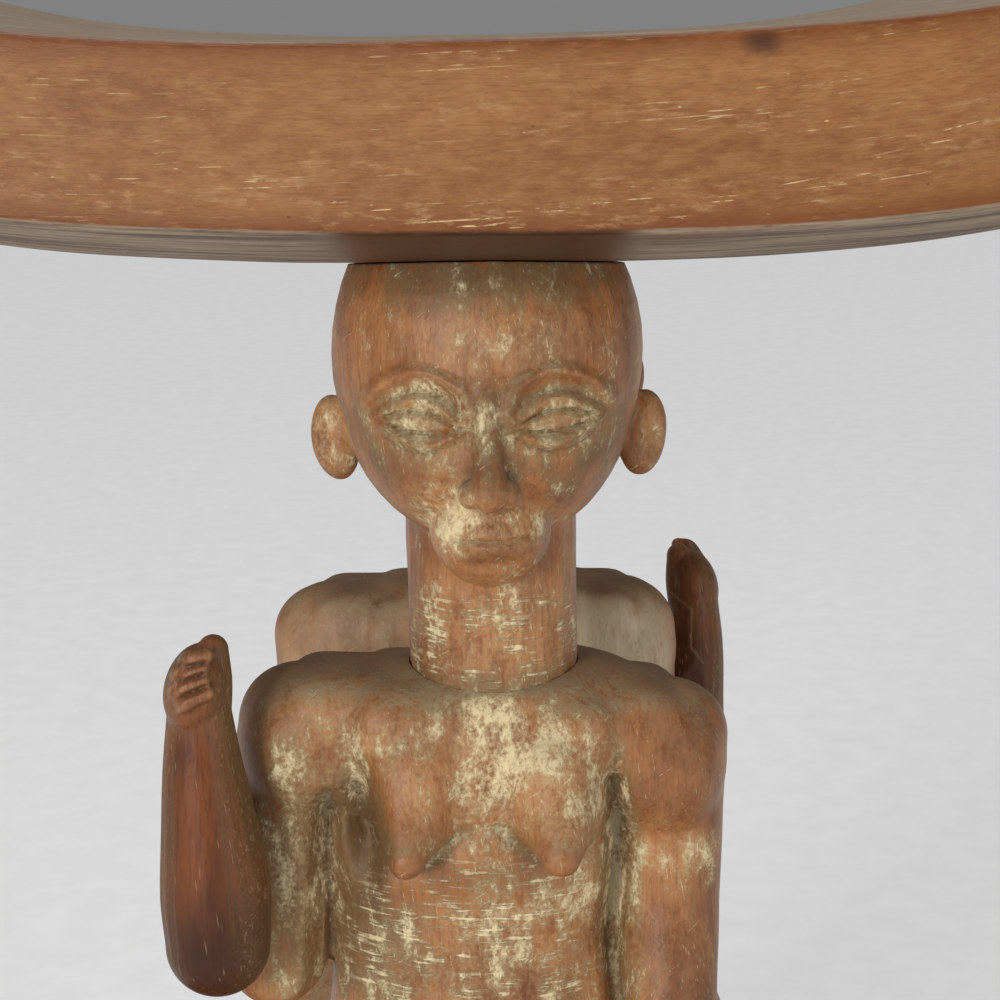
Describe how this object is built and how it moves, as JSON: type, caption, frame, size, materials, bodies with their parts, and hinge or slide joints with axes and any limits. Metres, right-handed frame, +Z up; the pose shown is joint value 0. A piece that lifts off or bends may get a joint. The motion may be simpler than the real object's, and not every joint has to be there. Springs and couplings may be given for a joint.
{
  "type": "ashanti stool",
  "caption": "Carved wooden stool: a swept saddle seat carried on the heads of standing figures, back to back on a slab base, each with a raised forearm.",
  "frame": {"origin": "on the floor, under the middle of the base", "axes": "+X along the seat, +Y from the front figure towards the rear figure, +Z up; the front figure faces -Y"},
  "size_m": [0.5308, 0.232, 0.4605],
  "materials": {
    "seat_wood": "orange brown hardwood, burnished by use, fine pale scratches along the grain",
    "base_wood": "orange brown hardwood, worn and dusty",
    "figure_wood": "reddish brown carved wood with rubbed cream clay in its hollows",
    "forearm_wood": "dark brown wood polished by handling",
    "peg_wood": "plain split wood"
  },
  "bodies": {
    "root": {"seat": "seat_wood", "base": "base_wood", "front_body": "figure_wood", "front_head": "figure_wood", "front_forearm": "forearm_wood", "front_crown_peg": "peg_wood", "front_neck_peg": "peg_wood", "front_elbow_peg": "peg_wood", "front_left_foot_peg": "peg_wood", "front_right_foot_peg": "peg_wood", "rear_body": "figure_wood", "rear_head": "figure_wood", "rear_forearm": "forearm_wood", "rear_crown_peg": "peg_wood", "rear_neck_peg": "peg_wood", "rear_elbow_peg": "peg_wood", "rear_left_foot_peg": "peg_wood", "rear_right_foot_peg": "peg_wood"}
  },
  "joints": []
}
